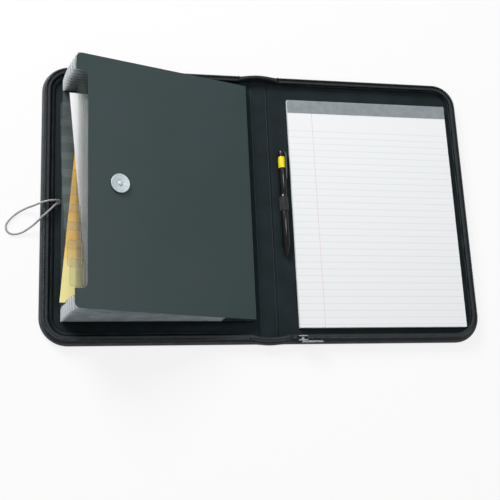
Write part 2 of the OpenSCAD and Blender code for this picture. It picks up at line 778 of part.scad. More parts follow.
tray_skin();
tray_board();
tray_lining();
tray_binding();
tray_wall();
tray_gusset();
tray_zip_tape();
tray_zip_chain();
tray_zip_stops();
cover_skin();
cover_board();
cover_lining();
cover_binding();
cover_wall();
cover_gusset();
cover_zip_tape();
cover_zip_chain();
cover_zip_stops();
zip_slider();
zip_pull();
spine_skin();
spine_board();
spine_lining();
spine_binding();
spine_gussets();
tray_fold();
cover_fold();
file_back_panel();
file_spine_strip();
file_front_panel();
bellows_far();
bellows_near();
for (i = [1:leaves])
    divider(i);
button_spacer();
button_disc();
button_rivet();
elastic_loop();
loop_anchor();
pad_card();
pad_sleeve();
pad_sheets();
pad_strip();
pen_barrel();
pen_band();
pen_clip();
pen_loop();
white_sheet();
yellow_folder();
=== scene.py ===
"""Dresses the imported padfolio: leatherette case, zip, lining, accordion file, papers, pad and pen."""
import json
import math
from collections import namedtuple
from math import pi

import bmesh
import bpy
import numpy as np
from mathutils import Matrix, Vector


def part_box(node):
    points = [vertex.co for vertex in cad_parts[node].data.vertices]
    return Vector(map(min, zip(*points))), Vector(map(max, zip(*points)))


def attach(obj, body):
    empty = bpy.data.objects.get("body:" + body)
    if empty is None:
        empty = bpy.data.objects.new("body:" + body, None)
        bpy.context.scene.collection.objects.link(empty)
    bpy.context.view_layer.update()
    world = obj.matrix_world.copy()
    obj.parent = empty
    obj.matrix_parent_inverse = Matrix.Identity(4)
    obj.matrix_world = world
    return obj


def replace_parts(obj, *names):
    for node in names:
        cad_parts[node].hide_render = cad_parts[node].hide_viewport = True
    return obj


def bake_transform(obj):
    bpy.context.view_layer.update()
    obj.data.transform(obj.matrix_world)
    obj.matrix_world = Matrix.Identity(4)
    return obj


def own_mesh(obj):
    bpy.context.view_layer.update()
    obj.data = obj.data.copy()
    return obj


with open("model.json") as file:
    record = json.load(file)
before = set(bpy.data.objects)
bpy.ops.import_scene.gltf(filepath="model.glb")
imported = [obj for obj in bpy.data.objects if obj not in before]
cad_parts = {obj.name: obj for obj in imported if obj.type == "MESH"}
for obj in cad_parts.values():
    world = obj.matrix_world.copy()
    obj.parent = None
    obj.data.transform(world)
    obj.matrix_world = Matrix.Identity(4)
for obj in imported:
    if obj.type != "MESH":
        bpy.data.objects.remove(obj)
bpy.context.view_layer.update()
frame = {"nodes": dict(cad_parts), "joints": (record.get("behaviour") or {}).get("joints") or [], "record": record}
MM = 0.001
UP = np.array([0, 0, 1.0])
HALVES = (("tray", -1), ("cover", 1))
scene = bpy.context.scene

# Places read from the frame, in metres
joints = {j["name"]: j for j in frame["joints"]}
ratios = {c["joint"]: c["ratio"] for c in frame["record"]["behaviour"]["couplings"]}
POCKETS = sum(name.startswith("pocket_") for name in joints)
pocket_names = [f"pocket_{i}" for i in range(1, POCKETS + 1)]
FOLD_X, _, FOLD_Z = joints["cover_swing"]["pos_m"]
FOLD_TURN = joints["case_fold"]["range_deg"][1]
HINGE_X = joints["pocket_1"]["pos_m"][0]
OUTER_X, HALF_H, ROLL_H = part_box("cover_binding")[1]
RIM_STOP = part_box("cover_binding")[0].x - FOLD_X
GUSSET_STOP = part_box("cover_gusset")[0].x - FOLD_X
GUSSET_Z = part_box("cover_gusset")[1].z
CHAIN_Z, RIM_Z = (corner.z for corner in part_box("cover_zip_chain"))
FLOOR_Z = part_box("cover_lining")[1].z
SPINE_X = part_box("spine_skin")[1].x
HALF_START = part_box("cover_skin")[0].x
FILE_Y0, FILE_Y1 = (corner.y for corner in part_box("file_back_panel"))

# Sizes that the solids share, which no box gives
CORNER_R = 34 * MM
ROLL_W = 6 * MM
TAPE_INSET = 5.5 * MM
TAPE_T = 0.7 * MM
COIL_W = 2.6 * MM
WALL_T = 0.8 * MM
RIDGE = 10 * MM
LEAF_T = 0.35 * MM
PANEL_T = 0.8 * MM
TAB_W = 8 * MM
LEAF_CUT = 9 * MM
NOTCH_END = 22 * MM
TAB_LAP = 4 * MM
TAB_L = 31 * MM
TAB_START = 31 * MM
TAB_END = 26 * MM
PLEAT_D = 16 * MM
PLEAT_START = 40 * MM
SEAM = 0.1 * MM
# The tray's slope ends 1 mm short of its solid's, which leaves room for the leaves as the case shuts
FOOT = {"tray": 16.5 * MM, "cover": 11.5 * MM}

LEAF_TURN = [-ratios[name] * FOLD_TURN for name in pocket_names]
LEAF_ANGLE = np.radians(np.concatenate([[0], np.cumsum(LEAF_TURN)]))
LEAF_Z = np.array([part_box("file_back_panel")[1].z] + [joints[name]["pos_m"][2] for name in pocket_names])
LEAF_L = (HINGE_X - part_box("divider_1")[0].x) / math.cos(LEAF_ANGLE[1]) - TAB_W
BACK_L = HINGE_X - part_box("file_back_panel")[0].x
MOUTH_L = BACK_L + (LEAF_L - BACK_L) * np.arange(POCKETS + 1) / POCKETS
LEAF_BODY = ["tray"] + [f"leaf_{i}" for i in range(1, POCKETS)] + ["front"]


# Shapes: each is points and a list of faces, in arrays of corners


def unit(vectors):
    """Vectors with their length brought to 1."""
    return vectors / np.linalg.norm(vectors, axis=-1, keepdims=True)


def circle(count):
    """Evenly spaced angles of one full turn."""
    return np.linspace(0, 2 * pi, count, endpoint=False)


def smooth_step(share):
    """A rise from 0 to 1 that is level at both ends: 3 u^2 - 2 u^3."""
    return share**2 * (3 - 2 * share)


def lengths(points):
    """Distance along a row of points from its first one."""
    return np.concatenate([[0], np.cumsum(np.linalg.norm(np.diff(points, axis=0), axis=1))])


def stacked(*coordinates):
    """Points from their coordinates, which are arrays or numbers of any shapes that fit together."""
    return np.stack(np.broadcast_arrays(*coordinates), axis=-1)


def at_height(plan, z):
    """Points or directions in plan, with a height added."""
    return stacked(*plan.T, z)


def grid_faces(n, m, wrap=False):
    """Quads between neighbours on a grid of n rows of m points. The rows are closed where it wraps."""
    i, j = np.meshgrid(np.arange(n - 1) * m, np.arange(m if wrap else m - 1), indexing="ij")
    i, j, after = i.ravel(), j.ravel(), (j.ravel() + 1) % m
    return stacked(i + j, i + m + j, i + m + after, i + after)


def capped(n, m):
    """Faces of a tube of n rings of m points: the quads along it, and a cap at each end."""
    return [grid_faces(n, m, wrap=True), np.stack([np.arange(m), np.arange((n - 1) * m, n * m)])]


def copies(grid):
    """Faces of many small tubes, one after the other."""
    count, n, m = grid.shape[:3]
    start = n * m * np.arange(count)[:, None, None]
    return [(block + start).reshape(-1, block.shape[1]) for block in capped(n, m)]


def joined(shapes):
    """Several shapes as one: their points in a row, and each one's corners counted on from the last."""
    points = [np.reshape(grid, (-1, 3)) for grid, _ in shapes]
    starts = np.cumsum([0] + [len(row) for row in points])
    faces = [block + start for (_, blocks), start in zip(shapes, starts) for block in blocks]
    return np.concatenate(points), faces


def tube_uv(along, across):
    """Metres along and across the surface at the four corners of each quad of a tube."""
    i, j = np.meshgrid(np.arange(len(along) - 1), np.arange(len(across) - 1), indexing="ij")
    i, j = i.ravel(), j.ravel()
    u = stacked(along[i], along[i + 1], along[i + 1], along[i])
    v = stacked(across[j], across[j], across[j + 1], across[j + 1])
    return stacked(u, v)


def add_piece(name, shape, finish, body=None, node=None, uv=None, sharp=40, highlight_mark=None):
    """One mesh object of a shape: doubles merged, faces turned outwards, shaded smooth up to the sharp
    angle, with its finish. It rides on the body and replaces the node where they are named.
    mark gives each point a number from 0 to 1 that the finish can read."""
    points, faces = shape
    mesh = bpy.data.meshes.new(name)
    corners = [face for block in faces for face in block.tolist()]
    mesh.from_pydata(np.reshape(points, (-1, 3)).tolist(), [], corners)
    if uv is not None:
        flat = np.zeros((len(mesh.loops), 2))
        flat[: uv.size // 2] = uv.reshape(-1, 2)
        mesh.uv_layers.new(name="UVMap").data.foreach_set("uv", flat.ravel())
    if highlight_mark is not None:
        marks = mesh.attributes.new("highlight_mark", "FLOAT", "POINT").data
        marks.foreach_set("value", np.ravel(highlight_mark).astype(float))
    work = bmesh.new()
    work.from_mesh(mesh)
    bmesh.ops.remove_doubles(work, verts=work.verts, dist=1e-7)
    bmesh.ops.recalc_face_normals(work, faces=work.faces)
    work.to_mesh(mesh)
    work.free()
    mesh.shade_smooth()
    mesh.set_sharp_from_angle(angle=math.radians(sharp))
    mesh.materials.append(finish)
    piece = bpy.data.objects.new(name, mesh)
    scene.collection.objects.link(piece)
    if body:
        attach(piece, body)
    if node:
        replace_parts(piece, node)
    return piece


def band(edge, inward, d, z):
    """A closed band along an edge: points at the distances d along the inward normals, at the heights z,
    by place on the edge and corner of the section."""
    plan = edge[:, None] + d[:, :, None] * inward[:, None]
    z = np.broadcast_to(z, plan.shape[:2])
    return np.dstack([plan, z]), capped(*z.shape)


def sweep(edge, inward, profile, wave=0):
    """Carries a closed profile of (distance, height) along an edge. wave adds to the distance, by place on
    the edge and corner of the profile."""
    return band(edge, inward, profile[None, :, 0] + wave, profile[:, 1])


def ribbon(curve, thickness):
    """A closed profile: an open curve of (distance, height), and back along its lower side."""
    along = unit(np.gradient(curve, axis=0))
    down = stacked(along[:, 1], -along[:, 0])
    return np.vstack([curve, (curve + thickness * down)[::-1]])


def two_sided(grid, up, thickness, quads, rim):
    """A sheet of even thickness: its points moved half of it to each side along up, with faces between
    the two sides of its rim."""
    count = grid.size // 3
    after = np.roll(rim, -1)
    sides = stacked(rim, after, after + count, rim + count)
    points = np.stack([grid + up * thickness / 2, grid - up * thickness / 2])
    return points, [np.concatenate([quads, quads[:, ::-1] + count, sides])]


def slab(grid, up, thickness):
    """A sheet of even thickness on a grid, with the grid's four edges as its rim."""
    n, m = grid.shape[:2]
    index = np.arange(n * m).reshape(n, m)
    rim = np.concatenate([index[0, :-1], index[:-1, -1], index[-1, :0:-1], index[:0:-1, 0]])
    return two_sided(grid, up, thickness, grid_faces(n, m), rim)


def plate(outline, up, thickness, rings=3):
    """A flat plate of any round outline: rings of the outline drawn in to its middle, on two sides."""
    middle = outline.mean(axis=0)
    disc = middle + np.linspace(0, 1, rings)[:, None, None] * (outline - middle)
    n, m = disc.shape[:2]
    return two_sided(disc, up, thickness, grid_faces(n, m, wrap=True), np.arange((n - 1) * m, n * m))


def tube(path, radius, sides, lean):
    """A round tube: at each point of the path a ring square to it, started from the lean direction."""
    along = unit(np.gradient(path, axis=0))
    first = unit(lean - (lean * along).sum(axis=1, keepdims=True) * along)
    turn = circle(sides)[:, None]
    ring = np.cos(turn) * first[:, None] + np.sin(turn) * np.cross(along, first)[:, None]
    return path[:, None] + radius * ring, capped(len(path), sides)


def lathe(profile, foot, axis, across, sides=64):
    """A profile of (radius, height) turned round an axis that stands on a foot point."""
    turn = circle(sides)[:, None]
    out = np.cos(turn) * across + np.sin(turn) * np.cross(axis, across)
    grid = foot + profile[:, 1, None, None] * axis + profile[:, 0, None, None] * out
    return grid, [grid_faces(len(profile), sides, wrap=True)]


def rounded(x0, x1, y0, y1, r, count=7):
    """Outline of a rectangle whose corners are quarter circles of radius r."""
    turn = np.radians(np.array([180, 270, 0, 90])[:, None] + np.linspace(0, 90, count))
    x = np.array([x0 + r, x1 - r, x1 - r, x0 + r])[:, None] + r * np.cos(turn)
    y = np.array([y0 + r, y0 + r, y1 - r, y1 - r])[:, None] + r * np.sin(turn)
    return stacked(x.ravel(), y.ravel())


def smooth_route(points, per=6):
    """A smooth curve through points: on each stretch, the cubic that leaves and arrives in the
    direction from the point before to the point after."""
    p = np.vstack([2 * points[0] - points[1], points, 2 * points[-1] - points[-2]])
    t = np.linspace(0, 1, per, endpoint=False)[None, :, None]
    a, b, c, d = p[:-3, None], p[1:-2, None], p[2:-1, None], p[3:, None]
    curve = b + t / 2 * (c - a) + t**2 * (a - 2.5 * b + 2 * c - d / 2)
    curve = curve + t**3 * (1.5 * (b - c) + (d - a) / 2)
    return np.vstack([curve.reshape(-1, 3), points[-1:]])


def rim_at(side, s, stop):
    """Points on the outer edge of a half, s metres from its near fold, and the inward normals there:
    along the near edge, a quarter circle, the outer side, a quarter circle, and back along the far edge."""
    near = OUTER_X - CORNER_R - FOLD_X - stop
    quarter = CORNER_R * pi / 2
    long = 2 * (HALF_H - CORNER_R)
    turn = np.clip((s - near) / CORNER_R, 0, pi / 2)
    turn = turn + np.clip((s - near - quarter - long) / CORNER_R, 0, pi / 2)
    x = FOLD_X + stop + np.minimum(s, near) + CORNER_R * np.sin(turn)
    x = x - np.maximum(s - near - 2 * quarter - long, 0)
    y = -HALF_H + CORNER_R * (1 - np.cos(turn)) + np.clip(s - near - quarter, 0, long)
    return stacked(side * x, y), stacked(-side * np.sin(turn), np.cos(turn))


def rim_length(stop):
    """Length of a half's outer edge between its two stops by the fold."""
    return 2 * (OUTER_X - CORNER_R - FOLD_X - stop) + pi * CORNER_R + 2 * (HALF_H - CORNER_R)


def rim_steps(stop, step=2.5 * MM):
    """Evenly spaced places along a half's outer edge."""
    return np.linspace(0, rim_length(stop), int(rim_length(stop) / step))


def on_leaf(i, r, y, n):
    """A point of leaf i: r along the leaf from its hinge, y along the case, n above its middle plane."""
    cos, sin = math.cos(LEAF_ANGLE[i]), math.sin(LEAF_ANGLE[i])
    return stacked(HINGE_X - r * cos + n * sin, y, LEAF_Z[i] + r * sin + n * cos)


def leaf_up(i):
    """The direction square to leaf i."""
    return np.array([math.sin(LEAF_ANGLE[i]), 0, math.cos(LEAF_ANGLE[i])])


def box_middle(node):
    """The middle of a node's box."""
    return np.array([list(corner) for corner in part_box(node)]).mean(axis=0)


# Finishes
Finish = namedtuple("Finish", "material tree shader place colour")


def linear(code):
    """An sRGB hex colour as linear red, green, blue and a full alpha."""
    values = [int(code[k : k + 2], 16) / 255 for k in (1, 3, 5)]
    return tuple(v / 12.92 if v <= 0.04045 else ((v + 0.055) / 1.055) ** 2.4 for v in values) + (1.0,)


def add_node(tree, kind, inputs=None, **settings):
    """Adds a shader node with its settings. Each input is a value, or an output socket that is linked to
    it."""
    node = tree.nodes.new(f"ShaderNode{kind}")
    for name, value in settings.items():
        setattr(node, name, value)
    for name, value in (inputs or {}).items():
        if isinstance(value, bpy.types.NodeSocket):
            tree.links.new(value, node.inputs[name])
        else:
            node.inputs[name].default_value = value
    return node


def new_material(name, **inputs):
    """A material with one principled shader, whose inputs are set from names with _ for a space."""
    material = bpy.data.materials.new(name)
    material.use_nodes = True
    shader = material.node_tree.nodes["Principled BSDF"]
    for key, value in inputs.items():
        shader.inputs[key.replace("_", " ")].default_value = value
    return material, material.node_tree, shader


def mottled(name, size, dark, light, roughness, coords="Object", detail=3.0, **inputs):
    """A finish whose colour drifts between two shades in patches of a size in metres. Its place is the
    coordinates that its other patterns follow too."""
    material, tree, shader = new_material(name, Roughness=roughness, **inputs)
    place = add_node(tree, "TexCoord").outputs[coords]
    noise = add_node(tree, "TexNoise", {"Vector": place, "Scale": 1 / size, "Detail": detail})
    ramp = add_node(tree, "ValToRGB", {"Fac": noise.outputs["Fac"]})
    for stop, position, code in zip(ramp.color_ramp.elements, (0.35, 0.65), (dark, light)):
        stop.position = position
        stop.color = linear(code)
    tree.links.new(ramp.outputs["Color"], shader.inputs["Base Color"])
    return Finish(material, tree, shader, place, ramp.outputs["Color"])


def emboss(finish, kind, inputs, depth, strength, output="Fac", **settings):
    """Presses a texture into a finish, as bump with its depth in metres, and gives its material."""
    texture = add_node(finish.tree, kind, {"Vector": finish.place, **inputs}, **settings)
    pressed = {"Height": texture.outputs[output], "Distance": depth, "Strength": strength}
    bump = add_node(finish.tree, "Bump", pressed)
    finish.tree.links.new(bump.outputs["Normal"], finish.shader.inputs["Normal"])
    return finish.material


def wave_scale(pitch):
    """The scale of a wave texture whose bands are a pitch in metres apart: it turns 20 radians a unit."""
    return 2 * pi / 20 / pitch


def woven_lining():
    """Polyester lining, plain weave: dull blue-black with a dark green cast. Threads are about 0.4 mm
    apart, and are drawn at 1.6 mm to show."""
    cloth = mottled("woven_lining", 30 * MM, "#142023", "#1B272B", 0.78, Specular_IOR_Level=0.2)
    threads = {"Vector": cloth.place, "Scale": wave_scale(1.6 * MM)}
    warp = add_node(cloth.tree, "TexWave", threads, bands_direction="X").outputs["Fac"]
    weft = add_node(cloth.tree, "TexWave", threads, bands_direction="Y").outputs["Fac"]
    weave = add_node(cloth.tree, "Math", {0: warp, 1: weft}, operation="MULTIPLY").outputs["Value"]
    bump = add_node(cloth.tree, "Bump", {"Height": weave, "Distance": 0.2 * MM, "Strength": 0.35})
    cloth.tree.links.new(bump.outputs["Normal"], cloth.shader.inputs["Normal"])
    return cloth.material


def black_nickel():
    """Zinc, die cast and plated with black nickel: dark grey with soft, slightly uneven reflections."""
    material, tree, shader = new_material("black_nickel", Metallic=1.0, Base_Color=linear("#75797D"))
    place = add_node(tree, "TexCoord").outputs["Object"]
    worn = add_node(tree, "TexNoise", {"Vector": place, "Scale": 1 / (1.5 * MM), "Detail": 4.0})
    gloss = add_node(tree, "MapRange", {"Value": worn.outputs["Fac"], "To Min": 0.32, "To Max": 0.5})
    tree.links.new(gloss.outputs["Result"], shader.inputs["Roughness"])
    return material


def bellows_film():
    """Polypropylene film, pleated while warm: milky grey-blue, whitened along its folds by a painted highlight."""
    film = mottled("milky_film", 14 * MM, "#A4B0B7", "#C6D0D5", 0.38, IOR=1.49, Alpha=0.72)
    # Painted highlight: the film whitens towards #F2F6F8 where the pleat's highlight mark is high
    fold = add_node(film.tree, "Attribute", attribute_name="highlight_mark").outputs["Fac"]
    shades = {"Factor": fold, 6: film.colour, 7: linear("#F2F6F8")}
    white = add_node(film.tree, "Mix", shades, data_type="RGBA")
    film.tree.links.new(white.outputs[2], film.shader.inputs["Base Color"])
    return film.material


def ruled_paper():
    """Uncoated writing paper, offset ruled: white, dull, with pale blue rules and a pink margin line.
    The lines are 0.3 mm wide, and are drawn at 0.6 mm to show."""
    material, tree, shader = new_material("ruled_paper", Roughness=0.85, IOR=1.5)
    pitch, line, first, margin = 8.7 * MM, 0.6 * MM, 42 * MM, 32 * MM
    low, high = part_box("pad_sheets")
    place = add_node(tree, "TexCoord").outputs["Object"]
    split = add_node(tree, "SeparateXYZ", {"Vector": place}).outputs
    value = {"x": split["X"], "y": split["Y"]}
    for name, operation, *terms in (
        ("down", "SUBTRACT", high.y - first, "y"),
        ("row", "MODULO", "down", pitch),
        ("on_row", "LESS_THAN", "row", line),
        ("below", "GREATER_THAN", "down", 0.0),
        ("rule", "MULTIPLY", "on_row", "below"),
        ("aside", "SUBTRACT", "x", low.x + margin),
        ("near", "ABSOLUTE", "aside"),
        ("on_margin", "LESS_THAN", "near", line / 2),
    ):
        inputs = {k: value.get(term, term) for k, term in enumerate(terms)}
        value[name] = add_node(tree, "Math", inputs, operation=operation).outputs["Value"]
    colour = linear("#F3F5F7")
    for name, code in (("rule", "#DFE6EB"), ("on_margin", "#E8D0D8")):
        shades = {"Factor": value[name], 6: colour, 7: linear(code)}
        colour = add_node(tree, "Mix", shades, data_type="RGBA").outputs[2]
    tree.links.new(colour, shader.inputs["Base Color"])
    fibre = {"Scale": 1 / (1.5 * MM), "Detail": 3.0}
    return emboss(Finish(material, tree, shader, place, colour), "TexNoise", fibre, 0.03 * MM, 0.2)


def gold_card():
    """Manila card, dyed through: warm amber and dull. A painted highlight turns it pale yellow over the near
    third, which stands out of its pocket in the light."""
    card = mottled("gold_card", 25 * MM, "#FFC650", "#FFD264", 0.75, IOR=1.5)
    along = add_node(card.tree, "SeparateXYZ", {"Vector": card.place}).outputs["Y"]
    # Painted highlight: the amber pales to #FFF3A6 towards the near end of the card
    painted_light_span = {"Value": along, "From Min": FILE_Y0 + 95 * MM, "From Max": FILE_Y0 + 50 * MM}
    painted_light = add_node(card.tree, "MapRange", painted_light_span, interpolation_type="SMOOTHSTEP")
    shades = {"Factor": painted_light.outputs["Result"], 6: card.colour, 7: linear("#FFF3A6")}
    both = add_node(card.tree, "Mix", shades, data_type="RGBA")
    card.tree.links.new(both.outputs[2], card.shader.inputs["Base Color"])
    return card.material


LINING, NICKEL, FILM = woven_lining(), black_nickel(), bellows_film()
RULED, CARD = ruled_paper(), gold_card()

# PU leatherette, pressed with a pebble grain: black with grey highlights on every bulge. The real grain is
# about 0.8 mm wide, and is drawn at 2 mm to show
GRAIN = dict(output="Distance", feature="SMOOTH_F1")
SKIN = mottled("black_leatherette", 5 * MM, "#1A1B1C", "#29292A", 0.62, Specular_IOR_Level=0.13)
LEATHER = emboss(SKIN, "TexVoronoi", {"Scale": 1 / (2 * MM)}, 0.5 * MM, 0.6, **GRAIN)
# PU leatherette strip, cut and sewn flat beside the zip: dull dark grey with a faint grain, drawn at 1.8 mm
STRIP = mottled("facing_leatherette", 10 * MM, "#1C2426", "#262E31", 0.55, Specular_IOR_Level=0.35)
FACING = emboss(STRIP, "TexVoronoi", {"Scale": 1 / (1.8 * MM)}, 0.3 * MM, 0.4, **GRAIN)
# Polyester zip tape, twill woven: flat black with fine slanting ribs, 1.2 mm apart
TWILL = mottled("zip_tape", 8 * MM, "#101113", "#1A1B1E", 0.7, coords="UV", IOR=1.45)
TAPE = emboss(TWILL, "TexWave", {"Scale": wave_scale(1.2 * MM)}, 0.2 * MM, 0.5, bands_direction="DIAGONAL")
# Aluminium, stamped and blasted: pale blue-silver, nearly as dull as paint, with a speckle. The blasted
# pits are about 0.2 mm, and are drawn at 1.3 mm to show
METAL = mottled("blasted_aluminium", 1.3 * MM, "#BFCDD4", "#E6EFF3", 0.55, Metallic=0.45)
ALUMINIUM = emboss(METAL, "TexNoise", {"Scale": 1 / (1.3 * MM), "Detail": 3.0}, 0.05 * MM, 0.4)
# Polypropylene sheet, extruded with a fine sand finish: dark green-grey with a broad dull sheen. The sand
# is about 0.3 mm, and is drawn at 1.2 mm to show
SHEET = mottled("sand_polypropylene", 120 * MM, "#314242", "#364447", 0.5, detail=2.0, IOR=1.49)
PANEL = emboss(SHEET, "TexNoise", {"Scale": 1 / (1.2 * MM), "Detail": 2.0}, 0.06 * MM, 0.25)
# Paper tape, pressed on the pad's head: blue-grey with a faint linen embossing, 1.4 mm apart
LINEN = mottled("pad_tape", 9 * MM, "#858E93", "#929A9F", 0.7, IOR=1.5)
HEAD_TAPE = emboss(LINEN, "TexWave", {"Scale": wave_scale(1.4 * MM)}, 0.08 * MM, 0.3, bands_direction="X")
# Braided elastic: silver-grey yarn in slanting ribs round the cord, 1.3 mm apart
YARN = mottled("elastic_braid", 4 * MM, "#98989A", "#B2B2B4", 0.55, coords="UV", IOR=1.5, Sheen_Weight=0.2)
BRAID = emboss(YARN, "TexWave", {"Scale": wave_scale(1.3 * MM)}, 0.2 * MM, 0.6, bands_direction="DIAGONAL")
# Flat knitted elastic: black, with ribs round the pen 1.1 mm apart
RIBBED = mottled("knitted_elastic", 5 * MM, "#1C1E20", "#2A2C2F", 0.75, IOR=1.45, Sheen_Weight=0.15)
KNIT = emboss(RIBBED, "TexWave", {"Scale": wave_scale(1.1 * MM)}, 0.15 * MM, 0.6, bands_direction="Y")

# Finishes without relief: name, patches in millimetres, two shades, roughness, other shader inputs
ROLL, GUSSET, ENAMEL, COIL, THREAD, LEAF, TAB, WELD_AND_HIGHLIGHT, EDGE, PAPER, BOARD, BLACK, YELLOW, GREY = (
    mottled(name, size * MM, *look, **inputs).material for name, size, *look, inputs in (
        # PU leatherette, stretched over a cord till its grain is gone, with a long soft highlight
        # Its dark grey, lighter than the black skin, is painted sheen on the rounded edge
        ("rolled_leatherette_painted_sheen", 18, "#3A3E43", "#484C51", 0.46, dict(Specular_IOR_Level=0.4)),
        # Polyester gusset cloth, close plain weave, with no gloss. Its black, darker than the lining, is painted
        # shade
        ("gusset_cloth_painted_shade", 20, "#0A1214", "#11191C", 0.85, dict(Specular_IOR_Level=0.15)),
        # Enamel, baked on pressed brass: dull black, with a wide faint sheen
        ("black_enamel", 2, "#121416", "#1C1F21", 0.65, dict(Specular_IOR_Level=0.3)),
        # Nylon monofilament, drawn and wound: black, with a small highlight on each turn
        ("nylon_coil", 6, "#1E2227", "#2E3339", 0.32, dict(IOR=1.53)),
        # Polyester sewing thread, twisted: dark grey, a little lighter than what it holds
        ("sewing_thread", 3, "#283033", "#3A4346", 0.6, dict(IOR=1.5)),
        # Polypropylene film, cast with a smoky tint: what lies behind shows, darker with each leaf
        ("smoky_leaf", 40, "#56625F", "#66726F", 0.45, dict(IOR=1.49, Alpha=0.1)),
        # Polypropylene, calendered: a stiffer, clearer strip with brighter edges than the leaf
        ("clear_tab", 10, "#75827F", "#8D9997", 0.3, dict(IOR=1.49, Alpha=0.1)),
        # Polypropylene, melted at a weld: nearly opaque white-grey, glossy along the edge
        # Along the leaves' edges by the bellows, these white-grey beads are a painted highlight
        ("weld_and_painted_highlight", 20, "#A9B4BA", "#D9E0E4", 0.25, dict(IOR=1.49)),
        # Polypropylene, die cut: a tab's edge, a little paler than its face, and half clear
        ("cut_edge", 20, "#6C7976", "#8A9693", 0.4, dict(IOR=1.49, Alpha=0.5)),
        # Copy paper: bright white and dull, with a faint mottle of fibres
        ("copy_paper", 15, "#FBFBFC", "#FFFFFF", 0.85, dict(IOR=1.5)),
        # Greyboard, pulped and pressed: warm grey with darker and lighter flecks
        ("greyboard", 2.5, "#807C74", "#9A968E", 0.9, dict(IOR=1.5)),
        # ABS, injection moulded and polished: deep even colour with clear reflections
        ("black_abs", 8, "#101114", "#17181B", 0.22, dict(IOR=1.53)),
        ("yellow_abs", 8, "#F2DE12", "#FAEC2A", 0.22, dict(IOR=1.53)),
        ("grey_abs", 8, "#353F42", "#414C4F", 0.22, dict(IOR=1.53)),
    )
)

# Finish of each CAD node, also of those that a modelled piece replaces
NODE_FINISH = {
    LEATHER: ["tray_skin", "cover_skin", "spine_skin", "tray_wall", "cover_wall", "tray_fold", "cover_fold"],
    ROLL: ["tray_binding", "cover_binding", "spine_binding"],
    LINING: ["tray_lining", "cover_lining", "spine_lining", "spine_gussets", "pad_sleeve"],
    GUSSET: ["tray_gusset", "cover_gusset"],
    BOARD: ["tray_board", "cover_board", "spine_board", "pad_card"],
    TAPE: ["tray_zip_tape", "cover_zip_tape"],
    COIL: ["tray_zip_chain", "cover_zip_chain"],
    BLACK: ["pen_barrel"],
    ENAMEL: ["tray_zip_stops", "cover_zip_stops"],
    NICKEL: ["zip_slider", "zip_pull", "loop_anchor"],
    PANEL: ["file_back_panel", "file_spine_strip", "file_front_panel"],
    LEAF: [f"divider_{i}" for i in range(1, POCKETS)],
    FILM: ["bellows_far", "bellows_near"],
    ALUMINIUM: ["button_spacer", "button_disc", "button_rivet"],
    BRAID: ["elastic_loop"],
    KNIT: ["pen_loop"],
    RULED: ["pad_sheets"],
    HEAD_TAPE: ["pad_strip"],
    PAPER: ["white_sheet"],
    CARD: ["yellow_folder"],
    GREY: ["pen_clip"],
    YELLOW: ["pen_band"],
}


def finish_nodes():
    """Gives every CAD node its finish."""
    for finish, names in NODE_FINISH.items():
        for name in names:
            materials = frame["nodes"][name].data.materials
            materials.clear()
            materials.append(finish)


# Elastic loop: the route repeats the solid's, from the middle of its anchor ring, heights from the table
CORD_D = 2.4 * MM
CORD_POINTS = [
    [0, 1.4, 4], [-0.2, 1.3, 7], [-2, 0.7, 10], [-6, -0.4, 13], [-10.5, -1.7, 15.2],
    [-15, -3, 15.8], [-19.5, -4.2, 14.6], [-24.5, -5.3, 11.2], [-29.5, -6.2, 7.4], [-35, -7.4, 4.4],
    [-40.5, -9.6, 2.4], [-46.5, -13, 1.5], [-52.5, -18, 1.3], [-57.5, -24, 1.3], [-60.1, -30, 1.3],
    [-58.5, -36, 1.3], [-53.5, -39.4, 1.3], [-47, -39.4, 1.5], [-40.5, -37.2, 2.2], [-35, -34, 3.8],
    [-29.5, -30.6, 6.8], [-24, -26.6, 10.8], [-19, -22.4, 14.4], [-14.5, -18.4, 15.8],
    [-10.5, -14.2, 15.4], [-6.5, -9.2, 13], [-3.1, -4.6, 9.8], [-0.2, -1.5, 7], [0, -1.4, 4],
]


def make_elastic_loop():
    """A round cord on a smooth curve through the route, from its anchor over the rim and back."""
    sides, lean = 12, np.array([0.2, -0.55, -0.8])
    anchor = box_middle("loop_anchor") * [1, 1, 0]
    path = smooth_route(np.array(CORD_POINTS) * MM + anchor)
    uv = tube_uv(lengths(path), np.linspace(0, pi * CORD_D, sides + 1))
    shape = tube(path, CORD_D / 2, sides, lean)
    cord = add_piece("elastic_cord", shape, BRAID, "tray", "elastic_loop", uv)
    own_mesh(cord)


# Rim of each half: rolled edge, side wall, zip and gusset


def roll_profile():
    """The rolled edge: a half circle outside, a top that falls a little to the inside, and a flat foot."""
    r, fall = ROLL_H / 2, 0.7 * MM
    turn = np.radians(np.linspace(-90, -270, 17))
    arc = r + r * stacked(np.cos(turn), np.sin(turn))
    d = np.linspace(r, ROLL_W, 7)[1:]
    top = stacked(d, ROLL_H - fall * ((d - r) / (ROLL_W - r)) ** 2)
    return np.vstack([arc, top, [[ROLL_W, 0]]])


def wall_profile():
    """The side wall: it bulges outwards by a sine from the rolled edge to the zip, and is plain inside."""
    tuck, bulge = 0.8 * MM, 0.9 * MM
    low, outer = ROLL_H - tuck, TAPE_INSET - TAPE_T / 2 - SEAM - WALL_T
    share = np.linspace(0, 1, 11)
    face = stacked(outer - bulge * np.sin(pi * share), low + share * (GUSSET_Z - low))
    return np.vstack([face, [[outer + WALL_T, GUSSET_Z], [outer + WALL_T, low]]])


def tape_profile():
    """The zip tape: a thin upright band below the coil, with a doubled edge at its top."""
    tuck, doubled = 0.6 * MM, 0.3 * MM
    low, outer, inner = ROLL_H - tuck, TAPE_INSET - TAPE_T / 2, TAPE_INSET + TAPE_T / 2
    peak = [TAPE_INSET, CHAIN_Z + doubled]
    return np.array([[outer, low], [outer, CHAIN_Z], peak, [inner, CHAIN_Z], [inner, low]])


